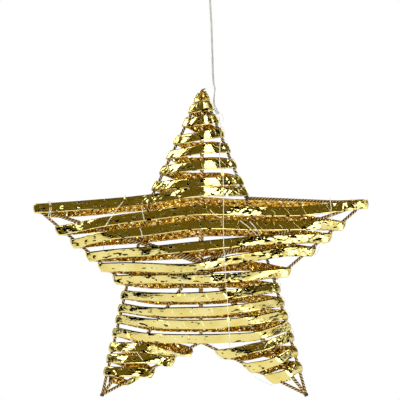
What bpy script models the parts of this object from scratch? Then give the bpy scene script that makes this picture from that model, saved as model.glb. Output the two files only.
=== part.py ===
"""A hanging five-pointed star: a wire frame wound with metallised ribbon, on a clear twin lead.

Lengths below are millimetres; MM turns them to metres. The outline lies in the plane y = 0, the front
faces -Y, and +Z is up. The origin is the inside top of the ring that the star hangs from.
"""

import math

import bmesh
import bpy
from mathutils import Vector

MM = 0.001

# Where the star's centre lies below and left of the hanging point
HANG_DROP = 284.0
HANG_SIDE = 8.7

# Outline, as (x, z) from the star's centre; the frame is bent by hand, so no two arms are quite alike
TIPS = {
    "top": (1.5, 172.0),
    "right": (163.0, 59.0),
    "lower_right": (105.0, -132.0),
    "lower_left": (-99.0, -133.0),
    "left": (-164.0, 53.0),
}
VALLEYS = {
    "upper_right": (45.0, 64.0),
    "lower_right": (73.0, -18.0),
    "bottom": (0.0, -80.0),
    "lower_left": (-74.0, -23.0),
    "upper_left": (-49.0, 66.0),
}
HALF_DEPTH = 35.0

# Frame wire, thread wrapping included
WIRE_RADIUS = 1.2
WIRE_SIDES = 8
MEETING_GAP = 0.3
TIP_CUTBACK = 7.5
CENTRE_CUTBACK = 5.0
VALLEY_CUTBACK = 4.5

# Ribbon
RIBBON_WIDTH = 8.4
RIBBON_THICKNESS = 0.7
RIBBON_CLEARANCE = 1.0
EDGE_BULGE = 2.9
STATION_SPACING = 15.0
MOST_LEAN = 2.0
LEAN_FADE = 20.0
LEAST_STATION_GAP = 2.5

# Lead, its sleeve, and the fitting it hangs by
LEAD_DIAMETER = 2.0
SLEEVE_RADIUS = 1.7
FERRULE_RADIUS = 2.0
FERRULE_LENGTH = 6.0
RING_INNER_RADIUS = 6.0
RING_WIRE_RADIUS = 1.0

# Fairy-light wire and its drops
LIGHT_WIRE_RADIUS = 0.4
DROP_RADIUS = 1.4
DROP_LENGTH = 5.0
LIGHT_CLEARANCE = 1.6

# One entry for each turn: the height of the ribbon's middle where the front run starts at the right
# edge, the (x, z) points that it passes, and its height where it ends at the left edge
TURNS = [
    ("star", 166.0, [(1.5, 166.0)], 164.0),
    ("star", 156.0, [(1.5, 155.5)], 153.0),
    ("star", 143.0, [(1.5, 141.5)], 140.0),
    ("star", 129.5, [(1.5, 126.0)], 122.0),
    ("star", 114.0, [(1.5, 112.5)], 107.0),
    ("star", 98.5, [(1.0, 96.5)], 92.0),
    ("star", 81.5, [(1.0, 79.4)], 76.0),
    ("star", 70.5, [(2.0, 70.2), (-12.0, 69.3), (-55.0, 62.5), (-101.0, 58.0)], 53.5),
    ("star", 58.0, [(129.0, 54.0), (99.0, 51.0), (55.0, 50.5), (0.0, 52.0), (-51.0, 46.5), (-95.0, 40.5)], 31.0),
    ("star", 36.0, [(99.0, 37.0), (59.0, 36.5), (0.0, 38.0), (-51.0, 31.5), (-91.0, 27.0)], 18.0),
    ("star", 24.0, [(99.0, 23.5), (59.0, 22.0), (0.0, 17.0), (-51.0, 11.5), (-91.0, 8.0)], 5.0),
    ("star", 10.5, [(84.0, 10.5), (59.0, 7.0), (21.0, 1.0), (0.0, -4.0), (-21.0, -5.5), (-68.0, -4.5)], -5.5),
    ("star", -10.5, [(39.0, -14.0), (0.0, -15.3), (-51.0, -16.5)], -18.0),
    ("star", -25.5, [(49.0, -28.5), (24.0, -31.5), (0.0, -33.3), (-51.0, -34.0)], -33.0),
    ("star", -39.5, [(49.0, -44.0), (24.0, -47.0), (0.0, -48.0), (-51.0, -48.6)], -46.0),
    ("star", -52.5, [(49.0, -57.5), (24.0, -60.0), (0.0, -61.0), (-51.0, -60.0)], -57.0),
    ("star", -63.5, [(69.0, -69.0), (49.0, -73.5), (0.0, -75.5), (-51.0, -74.5)], -70.0),
    ("left_leg", -90.0, [(-41.0, -87.5), (-59.0, -84.5)], -85.0),
    ("left_leg", -100.0, [(-52.0, -96.0)], -96.0),
    ("left_leg", -111.0, [(-66.0, -109.5)], -109.0),
    ("right_leg", -74.0, [(68.0, -81.0), (49.0, -85.5), (34.0, -89.5)], -92.5),
    ("right_leg", -88.5, [(79.0, -96.0), (64.0, -102.0)], -106.0),
    ("right_leg", -104.5, [(84.0, -112.0)], -117.0),
]
# The run behind the star, where it doesn't simply follow the two front runs that it joins
BACK_POINTS = {
    7: [(-147.0, 49.0), (-55.0, 56.0), (0.0, 60.0), (39.0, 58.0), (99.0, 57.0), (140.0, 57.0)],
    16: [(-60.0, -79.0), (-36.0, -84.0)],
    19: [(-86.0, -114.5)],
    22: [],
}
BACK_REGIONS = {16: "left_leg"}
# How far these back runs have come down towards the next front run, halfway along
BACK_SHARES = {1: 0.6, 2: 0.5, 3: 0.8, 4: 0.8, 5: 0.7, 6: 0.8}
# Where the two lengths of ribbon end, tucked in behind a leg
RIBBON_ENDS = {19: (-76.0, -118.5), 22: (91.0, -113.5)}


def material(name, colour, roughness, metallic, transmission=0.0):
    made = bpy.data.materials.new(name)
    made.use_nodes = True
    shader = made.node_tree.nodes["Principled BSDF"]
    shader.inputs["Base Color"].default_value = (*colour, 1.0)
    shader.inputs["Roughness"].default_value = roughness
    shader.inputs["Metallic"].default_value = metallic
    shader.inputs["Transmission Weight"].default_value = transmission
    return made


def world(x, y, z):
    """Metres from the hanging point, for a place given in millimetres from the star's centre."""
    return Vector((x - HANG_SIDE, y, z - HANG_DROP)) * MM


def add_solid(name, points, faces, finish, parent):
    mesh = bpy.data.meshes.new(name)
    mesh.from_pydata([world(*point) for point in points], [], faces)
    shaped = bmesh.new()
    shaped.from_mesh(mesh)
    bmesh.ops.recalc_face_normals(shaped, faces=shaped.faces)
    if shaped.calc_volume(signed=True) < 0.0:
        bmesh.ops.reverse_faces(shaped, faces=shaped.faces)
    shaped.to_mesh(mesh)
    shaped.free()
    mesh.materials.append(finish)
    solid = bpy.data.objects.new(name, mesh)
    solid.parent = parent
    bpy.context.scene.collection.objects.link(solid)
    return solid


def skinned(rings):
    """Faces that join rings of equally many points, with a cap at each end."""
    sides = len(rings[0])
    points = [point for ring in rings for point in ring]
    faces = [list(range(sides)), list(range(len(points) - sides, len(points)))]
    for start in range(0, len(points) - sides, sides):
        for side in range(sides):
            after = (side + 1) % sides
            faces.append([start + side, start + after, start + sides + after, start + sides + side])
    return points, faces


def strip_skinned(rings):
    """The same for a flat strip: its two faces are split along the same diagonals, so that they never meet."""
    points, faces = skinned(rings)
    split = faces[:2]
    for i, (a, b, c, d) in enumerate(faces[2:]):
        if i % 4 == 0:
            split += [[a, b, c], [a, c, d]]
        elif i % 4 == 2:
            split += [[a, b, d], [b, c, d]]
        else:
            split.append([a, b, c, d])
    return points, split


def square_axes(along):
    """Two directions at right angles to this one and to each other."""
    helper = Vector((0.0, 1.0, 0.0)) if abs(along.y) < 0.9 else Vector((1.0, 0.0, 0.0))
    first = along.cross(helper).normalized()
    return first, along.cross(first).normalized()


def mitred_rod(start, end, start_plane, end_plane):
    """Rings of a straight round rod, each cut by the plane through its end with the given normal."""
    along = (end - start).normalized()
    first, second = square_axes(along)
    rings = []
    for corner, normal, gap_side in ((start, start_plane, 1.0), (end, end_plane, -1.0)):
        ring = []
        for side in range(WIRE_SIDES):
            angle = 2.0 * math.pi * side / WIRE_SIDES
            radial = (first * math.cos(angle) + second * math.sin(angle)) * WIRE_RADIUS
            slide = (gap_side * MEETING_GAP / 2.0 - radial.dot(normal)) / along.dot(normal)
            ring.append(tuple(corner + radial + along * slide))
        rings.append(ring)
    return rings


def outline_corners():
    corners = []
    for tip, valley in zip(TIPS, VALLEYS):
        corners.append(("tip_" + tip, TIPS[tip]))
        corners.append(("valley_" + valley, VALLEYS[valley]))
    return corners


def front_wires():
    """(name, start, start depth, end, end depth) of the wires that run over the front; the back's match."""
    wires = [("to_" + tip, (0.0, 0.0), HALF_DEPTH, place, 0.0) for tip, place in TIPS.items()]
    wires.append(("to_bottom", (0.0, 0.0), HALF_DEPTH, VALLEYS["bottom"], 0.0))
    return wires


def add_outline_wires(finish, parent):
    places = [Vector((x, 0.0, z)) for _, (x, z) in outline_corners()]
    count = len(places)
    directions = [(places[(i + 1) % count] - places[i]).normalized() for i in range(count)]
    planes = [(directions[i - 1] + directions[i]).normalized() for i in range(count)]
    for i in range(count):
        after = (i + 1) % count
        rings = mitred_rod(places[i], places[after], planes[i], planes[after])
        points, faces = skinned(rings)
        add_solid(f"edge_wire_{i + 1:02d}", points, faces, finish, parent)


def add_straight_wire(name, start, end, start_cut, end_cut, finish, parent):
    along = (end - start).normalized()
    first = start + along * start_cut
    last = end - along * end_cut
    points, faces = skinned(mitred_rod(first, last, along, along))
    add_solid(name, points, faces, finish, parent)


def add_ridge_wires(finish, parent):
    for face_name, side in (("front", -1.0), ("back", 1.0)):
        for name, start, start_depth, end, end_depth in front_wires():
            cut = VALLEY_CUTBACK if name == "to_bottom" else TIP_CUTBACK
            add_straight_wire(
                f"{face_name}_wire_{name}",
                Vector((start[0], side * start_depth, start[1])),
                Vector((end[0], side * end_depth, end[1])),
                CENTRE_CUTBACK,
                cut,
                finish,
                parent,
            )


def add_side_wires(finish, parent):
    for side in ("left", "right"):
        upper, lower = VALLEYS["upper_" + side], VALLEYS["lower_" + side]
        start, end = Vector((upper[0], 0.0, upper[1])), Vector((lower[0], 0.0, lower[1]))
        add_straight_wire("side_wire_" + side, start, end, VALLEY_CUTBACK, VALLEY_CUTBACK, finish, parent)


def crossing(start, end, z):
    """How far along from start to end the height z is reached, or None."""
    low, high = sorted((start[1], end[1]))
    if not low <= z <= high or high - low < 1e-9:
        return None
    return (z - start[1]) / (end[1] - start[1])


def outline_crossings(z):
    corners = [place for _, place in outline_corners()]
    found = []
    for start, end in zip(corners, corners[1:] + corners[:1]):
        share = crossing(start, end, z)
        if share is not None:
            found.append(start[0] + (end[0] - start[0]) * share)
    return sorted(found)


def edge_x(z, region, side):
    """Where the outline is at this height, on the left or right side of the star or of one leg."""
    found = outline_crossings(z)
    if region == "left_leg":
        middle = [x for x in found if x < 0.0]
        return min(middle) if side == "left" else (max(middle) if z < VALLEYS["bottom"][1] else 0.0)
    if region == "right_leg":
        middle = [x for x in found if x > 0.0]
        return max(middle) if side == "right" else (min(middle) if z < VALLEYS["bottom"][1] else 0.0)
    return min(found) if side == "left" else max(found)


def section(z, region):
    """(x, depth) of the frame at this height, from left to right."""
    if region == "star":
        z = max(min(z, TIPS["top"][1] - 0.5), VALLEYS["bottom"][1] + 0.1)
        keep = {name for name, *_ in front_wires()}
    else:
        keep = {"to_lower_" + region.split("_")[0]}
    found = [(edge_x(z, region, side), 0.0) for side in ("left", "right")]
    for name, start, start_depth, end, end_depth in front_wires():
        share = crossing(start, end, z) if name in keep else None
        if share is not None:
            found.append((start[0] + (end[0] - start[0]) * share, start_depth + (end_depth - start_depth) * share))
    return sorted(found)


def taut_depth(x, z, region):
    """How far in front of the plane y = 0 a taut ribbon lies, bridging the frame's wires."""
    hull = []
    for place in section(z, region):
        while len(hull) > 1:
            (x1, d1), (x2, d2) = hull[-2:]
            if (x2 - x1) * (place[1] - d1) < (d2 - d1) * (place[0] - x1):
                break
            hull.pop()
        hull.append(place)
    if not hull[0][0] < x < hull[-1][0]:
        return 0.0
    for (x1, d1), (x2, d2) in zip(hull, hull[1:]):
        if x1 <= x <= x2:
            return d1 + (d2 - d1) * (x - x1) / max(x2 - x1, 1e-9)
    return 0.0


def height_along(line, x):
    """Height of a line of (x, z) points at x, on one smooth curve through them."""
    line = sorted(line)
    if x <= line[0][0]:
        return line[0][1]
    if x >= line[-1][0]:
        return line[-1][1]
    i = max(k for k in range(len(line) - 1) if line[k][0] <= x)
    (x1, z1), (x2, z2) = line[i], line[i + 1]
    slope_1 = slope_at(line, i)
    slope_2 = slope_at(line, i + 1)
    span = x2 - x1
    t = (x - x1) / span
    keep = 2 * t**3 - 3 * t**2 + 1
    return (
        keep * z1
        + (1 - keep) * z2
        + (t**3 - 2 * t**2 + t) * span * slope_1
        + (t**3 - t**2) * span * slope_2
    )


def slope_at(line, i):
    before, after = line[max(i - 1, 0)], line[min(i + 1, len(line) - 1)]
    return (after[1] - before[1]) / (after[0] - before[0])


def front_line(turn):
    region, right, middle, left = TURNS[turn]
    return [(loop_x(right, region, "right"), right)] + middle + [(loop_x(left, region, "left"), left)]


def back_line(turn):
    """From this turn's left end, behind the star, to the right end of the next."""
    here = front_line(turn)
    left = here[-1]
    right = RIBBON_ENDS[turn] if turn in RIBBON_ENDS else front_line(turn + 1)[0]
    if turn in BACK_POINTS:
        return [left] + BACK_POINTS[turn] + [right]
    after = front_line(turn + 1)
    steps = max(3, round((right[0] - left[0]) / (10.0 if turn in BACK_SHARES else 30.0)))
    most, early = BACK_SHARES.get(turn, 0.4), 5 if turn in BACK_SHARES else 10
    middle = []
    for step in range(1, steps):
        share = step / steps
        x = left[0] + (right[0] - left[0]) * share
        blend = most + (1.0 - most) * share**6 - most * (1.0 - share) ** early
        middle.append((x, (1.0 - blend) * height_along(here, x) + blend * height_along(after, x)))
    return [left] + middle + [right]


def tip_beside(z, region, side):
    """The left or right tip's x, where a ribbon at this height wraps that tip."""
    x, tip_z = TIPS[side]
    return x if region == "star" and abs(z - tip_z) < RIBBON_WIDTH / 2.0 else None


def loop_x(z, region, side):
    tip = tip_beside(z, region, side)
    return edge_x(z, region, side) if tip is None else tip


def lean_at_edge(z, region, side):
    """How far the outline moves in x for each millimetre up, where a ribbon crosses it."""
    if tip_beside(z, region, side) is not None:
        return 0.0
    reach = RIBBON_WIDTH / 2.0
    lean = (edge_x(z + reach, region, side) - edge_x(z - reach, region, side)) / (2.0 * reach)
    return max(-MOST_LEAN, min(MOST_LEAN, lean))


def stations(line, region):
    """x of each cross-section of a run: evenly spaced, and wherever an edge or the middle meets a wire."""
    first, last = line[0][0], line[-1][0]
    low, high = sorted((first, last))
    over_wires = []
    for offset in (0.0, -RIBBON_WIDTH / 2.0, RIBBON_WIDTH / 2.0):
        for name, start, _, end, _ in front_wires():
            over = wire_meeting(line, start, end, offset)
            if over is not None and low + 2.0 < over < high - 2.0:
                if all(abs(over - other) > LEAST_STATION_GAP for other in over_wires):
                    over_wires.append(over)
    count = max(4, round((high - low) / STATION_SPACING))
    even = [low + (high - low) * i / count for i in range(count + 1)]
    spaced = [x for x in even[1:-1] if all(abs(x - over) > STATION_SPACING / 3.0 for over in over_wires)]
    return sorted([low, high] + spaced + over_wires, reverse=first > last)


def wire_meeting(line, start, end, offset):
    """x where the line, moved up by the offset, passes the straight wire from start to end."""
    steps = 60
    before = None
    for step in range(steps + 1):
        share = step / steps
        x, z = start[0] + (end[0] - start[0]) * share, start[1] + (end[1] - start[1]) * share
        above = height_along(line, x) + offset - z
        if before is not None and above * before[1] <= 0.0 and above != before[1]:
            return before[0] + (x - before[0]) * before[1] / (before[1] - above)
        before = (x, above)
    return None


def cross_section(x, z, lean, region, side):
    """Four corners of the ribbon: inner low, inner high, outer high, outer low."""
    corners = []
    rise = RIBBON_WIDTH / 2.0
    depths = {
        step: taut_depth(x + lean * step * rise, z + step * rise, region)
        for step in (-1.0, -0.5, 0.0, 0.5, 1.0)
    }
    # A wire that runs along under the ribbon's middle lifts both of its edges
    middle, spread = (depths[1.0] + depths[-1.0]) / 2.0, (depths[1.0] - depths[-1.0]) / 2.0
    lift = max(depth - middle - spread * step for step, depth in depths.items())
    for extra, order in ((0.0, (-1.0, 1.0)), (RIBBON_THICKNESS, (1.0, -1.0))):
        for step in order:
            out = depths[step] + lift + WIRE_RADIUS + RIBBON_CLEARANCE + extra
            corners.append((x + lean * step * rise, side * out, z + step * rise))
    return corners


def run_rings(line, region, side, end_leans):
    first, last = line[0][0], line[-1][0]
    rings = []
    for x in stations(line, region):
        lean = end_leans[0] * max(0.0, 1.0 - abs(x - first) / LEAN_FADE)
        lean += end_leans[1] * max(0.0, 1.0 - abs(x - last) / LEAN_FADE)
        rings.append(cross_section(x, height_along(line, x), lean, region, side))
    return rings


def edge_rings(x, z, lean, outward, from_side, turns=(45.0, 90.0, 135.0)):
    """Rings of the loop that the ribbon makes round an edge wire, from one face of the star to the other."""
    rings = []
    rise = RIBBON_WIDTH / 2.0
    for degrees in turns:
        angle = math.radians(degrees)
        ring = []
        for extra, order in ((0.0, (-1.0, 1.0)), (RIBBON_THICKNESS, (1.0, -1.0))):
            for step in order:
                px = x + lean * step * rise + outward * (EDGE_BULGE + extra) * math.sin(angle)
                py = from_side * (WIRE_RADIUS + RIBBON_CLEARANCE + extra) * math.cos(angle)
                ring.append((px, py, z + step * rise))
        rings.append(ring)
    return rings


def joined_ends(rings, share):
    """The rings with the last one drawn back, which leaves a gap before the ribbon's next turn."""
    last = [
        tuple(a + (b - a) * share for a, b in zip(before, after))
        for before, after in zip(rings[-2], rings[-1])
    ]
    return rings[:-1] + [last]


def add_turn(turn, finish, parent):
    region = TURNS[turn][0]
    back_region = BACK_REGIONS.get(turn, region)
    front, back = front_line(turn), back_line(turn)
    right_lean = lean_at_edge(front[0][1], region, "right")
    left_lean = lean_at_edge(front[-1][1], region, "left")
    end_lean = 0.0 if turn in RIBBON_ENDS else lean_at_edge(back[-1][1], TURNS[turn + 1][0], "right")
    rings = edge_rings(*front[0], right_lean, 1.0, 1.0, turns=(20.0, 60.0, 100.0, 140.0))
    rings += run_rings(front, region, -1.0, (right_lean, left_lean))
    rings += edge_rings(*front[-1], left_lean, -1.0, -1.0)
    back_rings = run_rings(back, back_region, 1.0, (left_lean, end_lean))
    span = (Vector(back_rings[-1][0]) - Vector(back_rings[-2][0])).length
    rings += joined_ends(back_rings, 1.0 - 2.0 * MEETING_GAP / span)
    points, faces = strip_skinned(rings)
    add_solid(f"ribbon_turn_{turn + 1:02d}", points, faces, finish, parent)


def swept_rings(centres, radii, sides):
    centres = [Vector(place) for place in centres]
    rings = []
    for i, centre in enumerate(centres):
        before, after = centres[max(i - 1, 0)], centres[min(i + 1, len(centres) - 1)]
        first, second = square_axes((after - before).normalized())
        ring = []
        for side in range(sides):
            angle = 2.0 * math.pi * side / sides
            ring.append(tuple(centre + (first * math.cos(angle) + second * math.sin(angle)) * radii[i]))
        rings.append(ring)
    return rings


def smooth_route(points, spacing):
    """Evenly spaced points on one smooth curve through the given ones."""
    places = [Vector(point) for point in points]
    places = [places[0] * 2 - places[1]] + places + [places[-1] * 2 - places[-2]]
    fine = []
    for a, b, c, d in zip(places, places[1:], places[2:], places[3:]):
        for step in range(20):
            t = step / 20.0
            fine.append(
                0.5 * (2 * b + (c - a) * t + (2 * a - 5 * b + 4 * c - d) * t**2 + (3 * b - a - 3 * c + d) * t**3)
            )
    fine.append(places[-2])
    route = [fine[0]]
    for place in fine:
        if (place - route[-1]).length >= spacing:
            route.append(place)
    if (fine[-1] - route[-1]).length > spacing / 2.0:
        route.append(fine[-1])
    else:
        route[-1] = fine[-1]
    return route


# The lead's route, from the sleeve up to the ferrule
LEAD_ROUTE = [
    (13.9, -7.0, 154.5),
    (13.0, -7.0, 160.0),
    (13.4, -6.8, 166.0),
    (14.1, -6.2, 172.0),
    (12.9, -5.4, 178.0),
    (12.2, -4.6, 186.0),
    (11.6, -3.2, 205.0),
    (10.6, -1.2, 235.0),
    (9.3, -0.2, 258.0),
    (8.7, 0.0, 263.4),
]
SLEEVE_ROUTE = [(14.05, -7.0, 154.1), (15.2, -7.0, 151.5), (17.4, -7.2, 147.6)]
# The light wire's route down the front, as (x, z); its depth follows the ribbon
LIGHT_ROUTE = [
    (18.2, 146.0), (18.6, 140.0), (20.5, 130.0), (19.2, 112.0), (19.4, 96.0), (22.4, 85.0),
    (23.0, 37.0), (24.0, 7.0), (27.0, -40.0), (28.5, -68.0), (29.0, -82.0),
]
LIGHT_DROPS = (120.0, 88.0, 48.0, 12.0, -24.0, -57.0)


def add_lead(lead_finish, sleeve_finish, metal_finish, parent):
    curve = bpy.data.curves.new("lead", "CURVE")
    curve.dimensions = "3D"
    curve.bevel_depth = LEAD_DIAMETER / 2.0 * MM
    curve.bevel_resolution = 2
    curve.use_fill_caps = True
    spline = curve.splines.new("POLY")
    route = smooth_route(LEAD_ROUTE, 2.5 * LEAD_DIAMETER)
    spline.points.add(len(route) - 1)
    for point, place in zip(spline.points, route):
        point.co = (*world(*place), 1.0)
    curve.materials.append(lead_finish)
    lead = bpy.data.objects.new("lead", curve)
    lead.parent = parent
    bpy.context.scene.collection.objects.link(lead)

    sleeve = smooth_route(SLEEVE_ROUTE, 2.0)
    points, faces = skinned(swept_rings(sleeve, [SLEEVE_RADIUS] * len(sleeve), 10))
    add_solid("lead_sleeve", points, faces, sleeve_finish, parent)

    ring_drop = 2.0 * RING_INNER_RADIUS + 2.0 * RING_WIRE_RADIUS + MEETING_GAP
    bpy.ops.mesh.primitive_cylinder_add(
        vertices=16,
        radius=FERRULE_RADIUS * MM,
        depth=FERRULE_LENGTH * MM,
        location=(0.0, 0.0, -(ring_drop + FERRULE_LENGTH / 2.0) * MM),
    )
    ferrule = bpy.context.object
    ferrule.name = "lead_ferrule"
    bpy.ops.mesh.primitive_torus_add(
        major_segments=24,
        minor_segments=8,
        major_radius=(RING_INNER_RADIUS + RING_WIRE_RADIUS) * MM,
        minor_radius=RING_WIRE_RADIUS * MM,
        location=(0.0, 0.0, -RING_INNER_RADIUS * MM),
        rotation=(math.pi / 2.0, 0.0, 0.0),
    )
    ring = bpy.context.object
    ring.name = "hanging_ring"
    for made in (ferrule, ring):
        made.data.materials.append(metal_finish)
        made.data.shade_smooth()
        made.data.set_sharp_from_angle(angle=math.radians(40.0))
        made.parent = parent


def add_light_string(finish, parent):
    """The fairy-light wire down the front, with its drops, as one piece."""
    flat = smooth_route([(x, 0.0, z) for x, z in LIGHT_ROUTE], 4.0)
    lift = WIRE_RADIUS + RIBBON_CLEARANCE + RIBBON_THICKNESS + LIGHT_CLEARANCE
    centres, radii = [], []
    for place in flat:
        depth = taut_depth(place.x, place.z, "star")
        centres.append((place.x, -(depth + lift), place.z))
        nearest = min(abs(place.z - drop) for drop in LIGHT_DROPS)
        swell = max(0.0, 1.0 - (nearest / DROP_LENGTH) ** 2)
        radii.append(LIGHT_WIRE_RADIUS + (DROP_RADIUS - LIGHT_WIRE_RADIUS) * swell)
    points, faces = skinned(swept_rings(centres, radii, 6))
    add_solid("light_string", points, faces, finish, parent)


def main():
    for old in list(bpy.data.objects):
        bpy.data.objects.remove(old, do_unlink=True)
    star = bpy.data.objects.new("star", None)
    bpy.context.scene.collection.objects.link(star)

    thread = material("gold thread wrapped wire", (0.36, 0.24, 0.08), 0.45, 0.7)
    foil = material("metallised gold ribbon", (0.83, 0.64, 0.17), 0.12, 1.0)
    clear = material("clear soft plastic", (0.86, 0.87, 0.84), 0.25, 0.0, 0.6)
    silver = material("bright drawn wire", (0.75, 0.74, 0.70), 0.25, 1.0)

    add_outline_wires(thread, star)
    add_ridge_wires(thread, star)
    add_side_wires(thread, star)
    for turn in range(len(TURNS)):
        add_turn(turn, foil, star)
    add_lead(clear, clear, silver, star)
    add_light_string(silver, star)


main()
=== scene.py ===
import math
import random

import bpy
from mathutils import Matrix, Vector, noise

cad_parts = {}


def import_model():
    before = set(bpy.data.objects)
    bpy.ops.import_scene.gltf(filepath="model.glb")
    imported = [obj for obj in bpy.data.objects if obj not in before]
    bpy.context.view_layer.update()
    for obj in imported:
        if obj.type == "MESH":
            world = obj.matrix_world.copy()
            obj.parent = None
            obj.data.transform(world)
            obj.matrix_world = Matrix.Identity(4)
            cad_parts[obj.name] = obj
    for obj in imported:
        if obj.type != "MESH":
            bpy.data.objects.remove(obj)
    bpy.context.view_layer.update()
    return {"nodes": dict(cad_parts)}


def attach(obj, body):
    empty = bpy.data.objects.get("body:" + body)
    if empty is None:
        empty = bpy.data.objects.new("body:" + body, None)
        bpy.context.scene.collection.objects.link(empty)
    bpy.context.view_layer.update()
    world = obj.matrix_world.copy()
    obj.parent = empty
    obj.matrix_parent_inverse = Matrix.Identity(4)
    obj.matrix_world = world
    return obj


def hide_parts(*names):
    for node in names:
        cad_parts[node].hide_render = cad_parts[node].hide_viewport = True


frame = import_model()
print("frame loaded, nodes:", len(frame["nodes"]))

mm = 0.001

# Lengths are millimetres from the star's centre, which lies this far below and left of the hanging point
starPlace = {"drop": 284, "side": 8.7}


def world(x, y, z):
    return Vector(((x - starPlace["side"]) * mm, y * mm, (z - starPlace["drop"]) * mm))


def hexColour(code):
    # sRGB hex to the linear values that the shader sockets take
    channels = [int(code[i : i + 2], 16) / 255 for i in (1, 3, 5)]
    linear = [c / 12.92 if c <= 0.04045 else ((c + 0.055) / 1.055) ** 2.4 for c in channels]
    return (*linear, 1)


def setNode(tree, node, settings):
    # A setting is an attribute or input with its value, or with the node that feeds it, or with that node
    # and the name or number of its output. The stops of a ramp are places and sRGB colours
    for key, value in settings.items():
        linked = isinstance(value, tuple) and isinstance(value[0], bpy.types.Node)
        feeder, output = value if linked else (value, 0)
        if isinstance(feeder, bpy.types.Node):
            tree.links.new(feeder.outputs[output], node.inputs[key])
        elif key == "stops":
            elements = node.color_ramp.elements
            while len(elements) < len(value):
                elements.new(0.5)
            for element, (position, code) in zip(elements, value):
                element.position = position
                element.color = hexColour(code)
        elif isinstance(key, int) or key in node.inputs:
            node.inputs[key].default_value = value
        else:
            setattr(node, key, value)
    return node


def addNode(tree, kind, settings):
    return setNode(tree, tree.nodes.new("ShaderNode" + kind), settings)


def newMaterial(name):
    made = bpy.data.materials.new(name)
    made.use_nodes = True
    return made, made.node_tree, made.node_tree.nodes["Principled BSDF"]


def makePiece(name, points, faces, materials, faceSlots=None, uvs=None, uvName=None):
    # points are millimetres from the star's centre; uvs has one pair for each point
    mesh = bpy.data.meshes.new(name)
    mesh.from_pydata([world(*p) for p in points], [], faces)
    for material in materials:
        mesh.materials.append(material)
    if faceSlots:
        mesh.polygons.foreach_set("material_index", faceSlots)
    if uvs:
        layer = mesh.uv_layers.new(name=uvName)
        for loop in mesh.loops:
            layer.data[loop.index].uv = uvs[loop.vertex_index]
    mesh.polygons.foreach_set("use_smooth", [True] * len(mesh.polygons))
    mesh.update()
    piece = bpy.data.objects.new(name, mesh)
    bpy.context.scene.collection.objects.link(piece)
    return piece


def tubeFaces(ringCount, sides, first=0):
    faces = []
    for ring in range(ringCount - 1):
        start = first + ring * sides
        for side in range(sides):
            after = (side + 1) % sides
            faces.append([start + side, start + after, start + sides + after, start + sides + side])
    faces.append([first + side for side in reversed(range(sides))])
    last = first + (ringCount - 1) * sides
    faces.append([last + side for side in range(sides)])
    return faces


def squareAxes(along):
    helper = Vector((0, 1, 0)) if abs(along.y) < 0.9 else Vector((1, 0, 0))
    first = along.cross(helper).normalized()
    return first, along.cross(first).normalized()


def around(axes, angle, radius):
    return (axes[0] * math.cos(angle) + axes[1] * math.sin(angle)) * radius


def smoothRoute(points, spacing):
    # Evenly spaced points on one smooth curve through the given ones
    places = [Vector(point) for point in points]
    places = [places[0] * 2 - places[1]] + places + [places[-1] * 2 - places[-2]]
    fine = []
    for a, b, c, d in zip(places, places[1:], places[2:], places[3:]):
        for step in range(20):
            t = step / 20
            square, cube = 2 * a - 5 * b + 4 * c - d, 3 * b - a - 3 * c + d
            fine.append(0.5 * (2 * b + (c - a) * t + square * t**2 + cube * t**3))
    fine.append(places[-2])
    route = [fine[0]]
    for place in fine:
        if (place - route[-1]).length >= spacing:
            route.append(place)
    if (fine[-1] - route[-1]).length > spacing / 2:
        route.append(fine[-1])
    else:
        route[-1] = fine[-1]
    return route


# Camera: the photograph looks level, from a little to the right, with one pixel to the millimetre
cameraPlace = {"lens": 162, "distance": 1800, "azimuth": 2, "aim": (-1, 0, 62)}


def addCamera():
    data = bpy.data.cameras.new("camera")
    data.lens = cameraPlace["lens"]
    data.sensor_width = 36
    data.clip_end = 50
    camera = bpy.data.objects.new("camera", data)
    angle = math.radians(cameraPlace["azimuth"])
    x, y, z = cameraPlace["aim"]
    reach = cameraPlace["distance"]
    camera.location = world(x + reach * math.sin(angle), y - reach * math.cos(angle), z)
    camera.rotation_euler = (math.pi / 2, 0, angle)
    bpy.context.scene.collection.objects.link(camera)
    bpy.context.scene.camera = camera


addCamera()
print("camera set")


# Clear soft PVC insulation, extruded: glassy, faintly green, with soft highlights
def clearInsulation():
    made, tree, shader = newMaterial("clear soft PVC insulation")
    ripple = addNode(tree, "TexNoise", {"Scale": 0.4 / mm, "Detail": 1})
    bump = addNode(tree, "Bump", {"Strength": 0.08, "Distance": 0.3 * mm, "Height": ripple})
    setNode(tree, shader, {"Base Color": hexColour("#EEF0EC"), "Transmission Weight": 0.55})
    setNode(tree, shader, {"Roughness": 0.12, "IOR": 1.53, "Normal": bump})
    return made


# Tinned copper strands seen through the insulation: pale grey, softly shining
def tinnedCopper():
    made, tree, shader = newMaterial("tinned copper strands")
    place = addNode(tree, "TexCoord", {})
    strands = addNode(tree, "TexNoise", {"Scale": 0.9 / mm, "Vector": (place, "Object")})
    tone = addNode(tree, "ValToRGB", {"Fac": strands, "stops": [(0.35, "#A9A79F"), (0.65, "#DAD8D2")]})
    setNode(tree, shader, {"Base Color": tone, "Metallic": 1, "Roughness": 0.35})
    return made


# Nickel-plated steel, drawn and crimped: bright, with fine rub marks
def platedSteel():
    made, tree, shader = newMaterial("nickel-plated steel")
    place = addNode(tree, "TexCoord", {})
    rubs = addNode(tree, "TexNoise", {"Scale": 0.7 / mm, "Detail": 4, "Vector": (place, "Object")})
    spread = addNode(tree, "MapRange", {"Value": rubs, "To Min": 0.12, "To Max": 0.38})
    bump = addNode(tree, "Bump", {"Strength": 0.15, "Distance": 0.1 * mm, "Height": rubs})
    setNode(tree, shader, {"Base Color": hexColour("#CFCDC6"), "Metallic": 1})
    setNode(tree, shader, {"Roughness": spread, "Normal": bump})
    return made


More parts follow.
